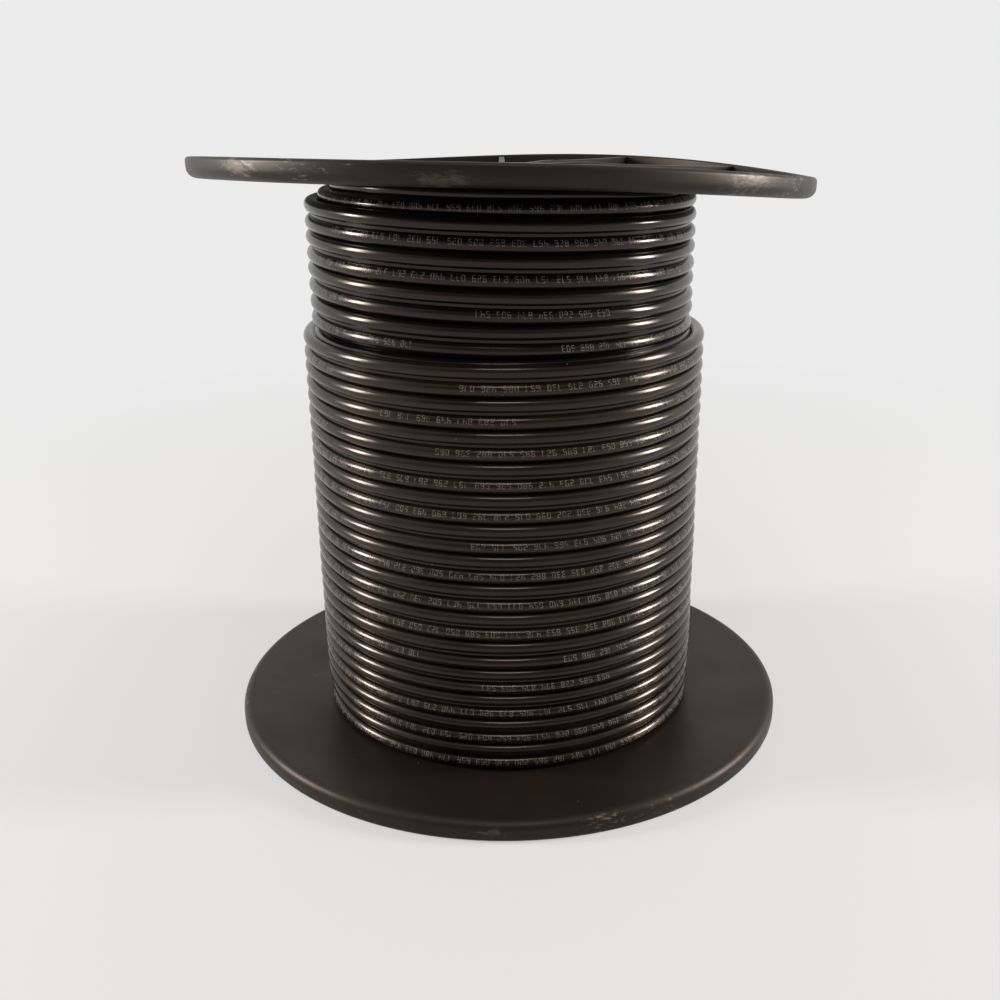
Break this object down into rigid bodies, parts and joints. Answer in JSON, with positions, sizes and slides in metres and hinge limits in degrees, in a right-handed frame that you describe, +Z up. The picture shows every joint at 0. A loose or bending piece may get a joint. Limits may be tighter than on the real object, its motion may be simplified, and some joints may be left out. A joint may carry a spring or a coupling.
{
  "type": "spool of coaxial cable",
  "caption": "Black moulded reel standing on one flange, part used, wound with twin-leg coaxial cable; the upper flange is bent and an arbor hole runs through both hubs.",
  "frame": {"origin": "on the reel's axis at floor level, where the lip of the lower flange stands", "axes": "+Z up along the reel's axis, -Y towards the viewer of the picture, +X to the right"},
  "size_m": [0.3, 0.3, 0.2985],
  "materials": {
    "reel": "satin",
    "cable": "semi-gloss"
  },
  "bodies": {
    "root": {"bottom_flange": "reel", "barrel": "reel", "cable_winding": "cable", "top_flange": "reel"}
  },
  "joints": []
}
